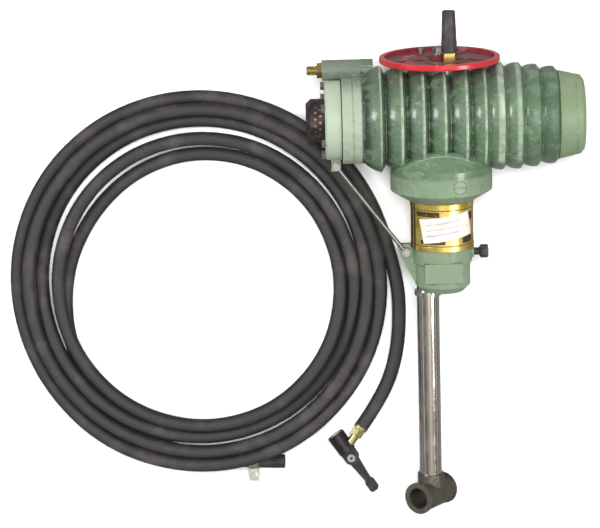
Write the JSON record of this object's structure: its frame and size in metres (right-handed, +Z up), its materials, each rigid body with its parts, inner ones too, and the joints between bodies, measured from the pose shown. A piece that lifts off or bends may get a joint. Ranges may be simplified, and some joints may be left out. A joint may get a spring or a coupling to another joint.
{
  "type": "hand pump",
  "caption": "Hand-cranked air pump lying on its side: finned twin-cylinder drum, handwheel with turning handle, tubular leg with an eye, and a loose coiled hose with a tyre chuck.",
  "frame": {"origin": "on the floor, under the middle of the pump's box without the hose", "axes": "+Z up, +Y from the foot's eye towards the handwheel and handle, +X towards the plain end cap of the drum"},
  "size_m": [0.6254, 0.5482, 0.1317],
  "materials": {
    "green_paint": "glossy enamel, chipped",
    "red_paint": "glossy enamel",
    "black_paint": "satin",
    "black_plastic": "smooth",
    "rubber": "matt",
    "brass": "worn",
    "chrome": "polished",
    "steel": "bright",
    "dark_steel": "dull",
    "iron": "honed",
    "aluminium": "turned",
    "label_white": "printed",
    "felt": "felt and foam"
  },
  "bodies": {
    "pump_body": {"crankcase": "green_paint", "liner_left": "iron", "liner_right": "iron", "rod_bush_left": "brass", "rod_bush_right": "brass", "neck_plug": "steel", "head_gasket": "rubber", "cylinder_head": "green_paint", "head_bolts": "steel", "filter_cap": "black_paint", "filter_foam": "felt", "outlet_nipple": "brass", "end_cap": "green_paint", "lower_shaft_bush": "brass", "upper_shaft_bush": "brass", "shaft_seal": "felt", "guide_plate": "iron", "guide_screws": "steel", "base_sleeve": "brass", "sleeve_label": "label_white", "foot_collar": "green_paint", "leg_tube": "chrome", "leg_ring": "chrome", "foot_eye": "dark_steel", "stay_rod": "steel", "stay_bolts": "steel", "hose_coil": "rubber", "hose_lead": "rubber", "hose_tail": "rubber", "hose_clamp": "steel", "clamp_bolt": "steel", "hose_barb": "brass", "chuck_body": "black_paint", "chuck_seal": "rubber", "chuck_rivet": "steel"},
    "crank": {"crankshaft": "steel", "handwheel": "red_paint", "wheel_key": "steel", "hub_washer": "steel", "hub_nut": "steel", "wheel_stud": "steel", "grip_collar": "brass", "grip_screw": "steel"},
    "handle": {"grip": "black_plastic"},
    "link": {"trammel_link": "steel", "rod_clip": "steel"},
    "pistons": {"piston_rod": "steel", "piston_left": "aluminium", "piston_right": "aluminium", "piston_ring_left": "iron", "piston_ring_right": "iron", "piston_nut_left": "steel", "piston_nut_right": "steel"},
    "inlet": {"inlet_valve": "steel", "inlet_keeper": "steel", "inlet_spring": "steel"},
    "outlet": {"outlet_ball": "steel", "outlet_spring": "steel"},
    "clamp_screw": {"thumb_screw": "steel"},
    "lever": {"chuck_lever": "black_paint"}
  },
  "joints": [
    {"name": "crank_turn", "type": "hinge", "parent": "pump_body", "child": "crank", "pos_m": [-0.00533, 0.15849, 0.06309], "axis": [0, 0.9966, 0.0819], "continuous": true},
    {"name": "link_turn", "type": "hinge", "parent": "crank", "child": "link", "pos_m": [-0.00455, 0.15776, 0.07203], "axis": [0, 0.9966, 0.0819], "continuous": true},
    {"name": "rod_on_pin", "type": "hinge", "parent": "link", "child": "pistons", "pos_m": [-0.00533, 0.15849, 0.06309], "axis": [0, 0.9966, 0.0819], "continuous": true},
    {"name": "handle_spin", "type": "hinge", "parent": "crank", "child": "handle", "pos_m": [0.0059, 0.22979, 0.09416], "axis": [0, 0.9966, 0.0819], "continuous": true},
    {"name": "inlet_lift", "type": "slide", "parent": "pump_body", "child": "inlet", "axis": [0.9962, 0.0071, -0.0869], "range_m": [0, 0.0025], "stiffness_N_per_m": 200, "springref_m": -0.002},
    {"name": "outlet_lift", "type": "slide", "parent": "pump_body", "child": "outlet", "axis": [-0.9962, -0.0071, 0.0869], "range_m": [0, 0.002], "stiffness_N_per_m": 200, "springref_m": -0.002},
    {"name": "thumb_screw_turn", "type": "hinge", "parent": "pump_body", "child": "clamp_screw", "pos_m": [0.03352, 0.01326, 0.04774], "axis": [0.9962, 0.0071, -0.0869], "continuous": true},
    {"name": "chuck_lever_swing", "type": "hinge", "parent": "pump_body", "child": "lever", "pos_m": [-0.10872, -0.21989, 0.01], "axis": [0, 0, 1], "range_deg": [-90, 0]}
  ],
  "couplings": [
    {"joint": "link_turn", "follows": "crank_turn", "ratio": -2},
    {"joint": "rod_on_pin", "follows": "crank_turn", "ratio": 1}
  ]
}
